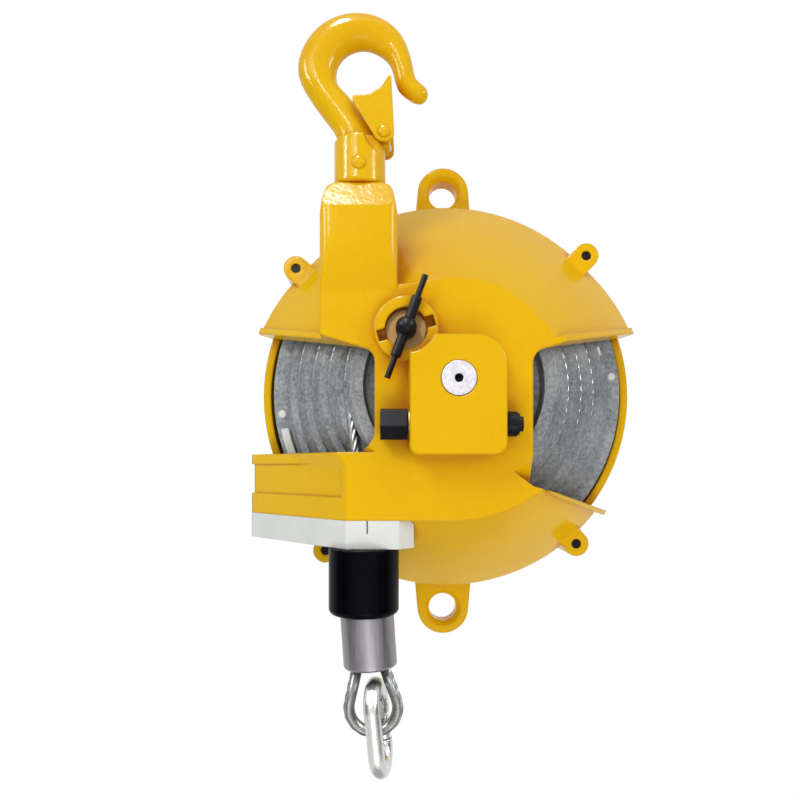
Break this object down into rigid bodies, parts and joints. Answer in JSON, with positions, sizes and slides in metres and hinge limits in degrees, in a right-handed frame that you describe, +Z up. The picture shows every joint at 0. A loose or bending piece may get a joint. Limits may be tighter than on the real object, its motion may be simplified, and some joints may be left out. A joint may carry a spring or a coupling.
{
  "type": "spring tool balancer",
  "caption": "Spring balancer: cast two-part casing, conical rope drum in view through two windows, worm adjuster, drum lock, safety hook and snap link.",
  "frame": {"origin": "Middle of the suspension hook's bowl, where the balancer hangs.", "axes": "+Z up along the line of pull, +X to the right seen from the adjuster side, +Y to the rear along the drum's axis."},
  "size_m": [0.2063, 0.1592, 0.3587],
  "materials": {
    "casing_enamel": "glossy golden yellow enamel on cast aluminium",
    "hook_enamel": "glossy yellow enamel on forged steel",
    "drum_cast": "matt grey cast surface",
    "rope_steel": "stranded galvanised wire",
    "steel": "machined steel",
    "bright_steel": "zinc plated",
    "black_steel": "black oxide",
    "spring_steel": "blued spring strip",
    "case_steel": "dark primer on pressed steel",
    "bronze": "machined bronze",
    "nylon": "white nylon",
    "rubber": "smooth black rubber",
    "sleeve_aluminium": "satin sleeve",
    "rivet_zinc": "bright rivet heads"
  },
  "bodies": {
    "hanger": {"hook": "hook_enamel", "hook_cross_pin": "hook_enamel", "swivel_stud": "steel", "latch_rivet": "hook_enamel", "latch_spring": "spring_steel"},
    "housing": {"front_casing": "casing_enamel", "rear_casing": "casing_enamel", "casing_screws": "black_steel", "guide_block": "nylon", "guide_screws": "bright_steel", "gear_cover": "steel", "cover_screws": "bright_steel", "shaft_bush": "bronze", "worm_bushes": "bronze", "lock_bush": "bronze", "lock_spring": "spring_steel", "swivel_washer": "bronze"},
    "shaft": {"main_shaft": "steel", "worm_wheel": "bronze", "gear_key": "steel", "spring_arbor": "steel", "shaft_washer": "bright_steel", "shaft_circlip": "black_steel", "bearing_inner_rings": "steel"},
    "worm_shaft": {"worm": "black_steel", "worm_washer": "black_steel", "worm_circlip": "black_steel"},
    "drum_body": {"drum": "drum_cast", "drum_rivets": "rivet_zinc", "spring_case": "case_steel", "spring_cover": "case_steel", "mainspring": "spring_steel", "bearing_outer_rings": "steel", "bearing_balls": "bright_steel", "rope_wound": "rope_steel", "rope_anchor": "steel"},
    "load": {"rope_fall": "rope_steel", "bumper": "rubber", "ferrule": "sleeve_aluminium", "thimble": "bright_steel", "rope_eye": "rope_steel"},
    "link": {"snap_link": "bright_steel", "gate_pin": "steel"},
    "gate": {"link_gate": "bright_steel"},
    "hook_latch": {"latch": "hook_enamel"},
    "lock_handle": {"lock_handle": "black_steel"},
    "lock_pin": {"lock_pin": "steel"}
  },
  "joints": [
    {"name": "hook_swivel", "type": "hinge", "parent": "hanger", "child": "housing", "pos_m": [-0.0018, 0, -0.0535], "axis": [0, 0, 1], "continuous": true},
    {"name": "latch_swing", "type": "hinge", "parent": "hanger", "child": "hook_latch", "pos_m": [0.0096, 0, -0.0303], "axis": [0, 1, 0], "range_deg": [-25, 0], "stiffness_Nm_per_rad": 0.05, "springref_deg": 11.46},
    {"name": "drum_spin", "type": "hinge", "parent": "housing", "child": "drum_body", "pos_m": [0.0422, 0.05, -0.1455], "axis": [0, -1, 0], "range_deg": [0, 1170], "stiffness_Nm_per_rad": 0.36, "springref_deg": -1260.51, "deforming": ["mainspring"]},
    {"name": "load_slide", "type": "slide", "parent": "housing", "child": "load", "axis": [0, 0, -1], "range_m": [0, 1.30224], "deforming": ["rope_fall"]},
    {"name": "link_swing", "type": "hinge", "parent": "load", "child": "link", "pos_m": [0.00506, 0, -0.30526], "axis": [0.9848, -0.1736, 0], "range_deg": [-15, 15]},
    {"name": "gate_open", "type": "hinge", "parent": "link", "child": "gate", "pos_m": [0.00774, 0.00945, -0.29812], "axis": [0.9801, -0.1736, 0.0961], "range_deg": [-7, 0], "stiffness_Nm_per_rad": 0.05, "springref_deg": 11.46},
    {"name": "worm_turn", "type": "hinge", "parent": "housing", "child": "worm_shaft", "pos_m": [0.0422, -0.0193, -0.16475], "axis": [1, 0, 0], "continuous": true},
    {"name": "shaft_turn", "type": "hinge", "parent": "housing", "child": "shaft", "pos_m": [0.0422, 0.05, -0.1455], "axis": [0, 1, 0], "continuous": true},
    {"name": "lock_turn", "type": "hinge", "parent": "housing", "child": "lock_handle", "pos_m": [0.0197, -0.017, -0.1216], "axis": [0, 1, 0], "range_deg": [0, 53.5]},
    {"name": "lock_slide", "type": "slide", "parent": "housing", "child": "lock_pin", "axis": [0, 1, 0], "range_m": [0, 0.0065]}
  ],
  "couplings": [
    {"joint": "load_slide", "follows": "drum_spin", "m_per_rad": 0.063771},
    {"joint": "shaft_turn", "follows": "worm_turn", "ratio": 0.045455},
    {"joint": "lock_slide", "follows": "lock_turn", "m_per_rad": 0.0069612}
  ]
}
